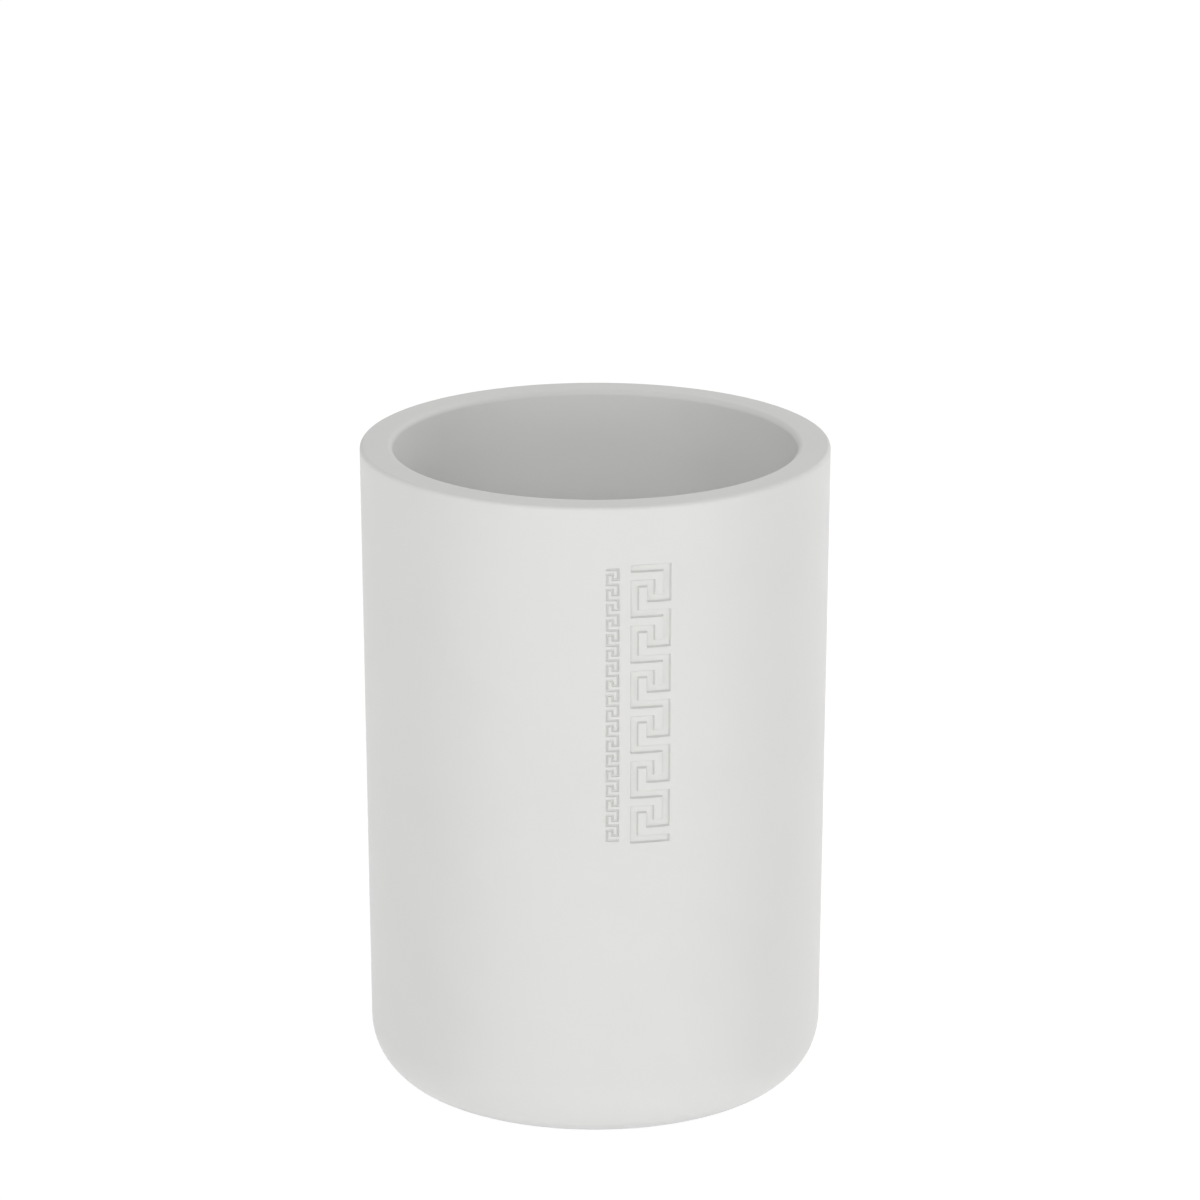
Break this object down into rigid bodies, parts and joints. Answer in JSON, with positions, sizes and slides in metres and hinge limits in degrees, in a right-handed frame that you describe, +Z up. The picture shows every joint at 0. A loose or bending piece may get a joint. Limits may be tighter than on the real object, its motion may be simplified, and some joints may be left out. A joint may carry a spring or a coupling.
{
  "type": "bathroom tumbler",
  "caption": "Round thick-walled tumbler with a flat rim, a slight outward taper and a wide rounded foot, standing on a foam pad recessed in its base.",
  "frame": {"origin": "on the cup's axis, in the plane of the foot pad's underside, where the tumbler rests", "axes": "+Z up along the cup's axis; -Y is the side that faces the camera in the picture"},
  "size_m": [0.073, 0.073, 0.1038],
  "materials": {
    "coated_resin": "mineral-filled polyester resin under a soft matt white coating",
    "pad_foam": "closed-cell foam sheet with a matt skin"
  },
  "bodies": {
    "root": {"tumbler_body": "coated_resin", "foot_pad": "pad_foam"}
  },
  "joints": []
}
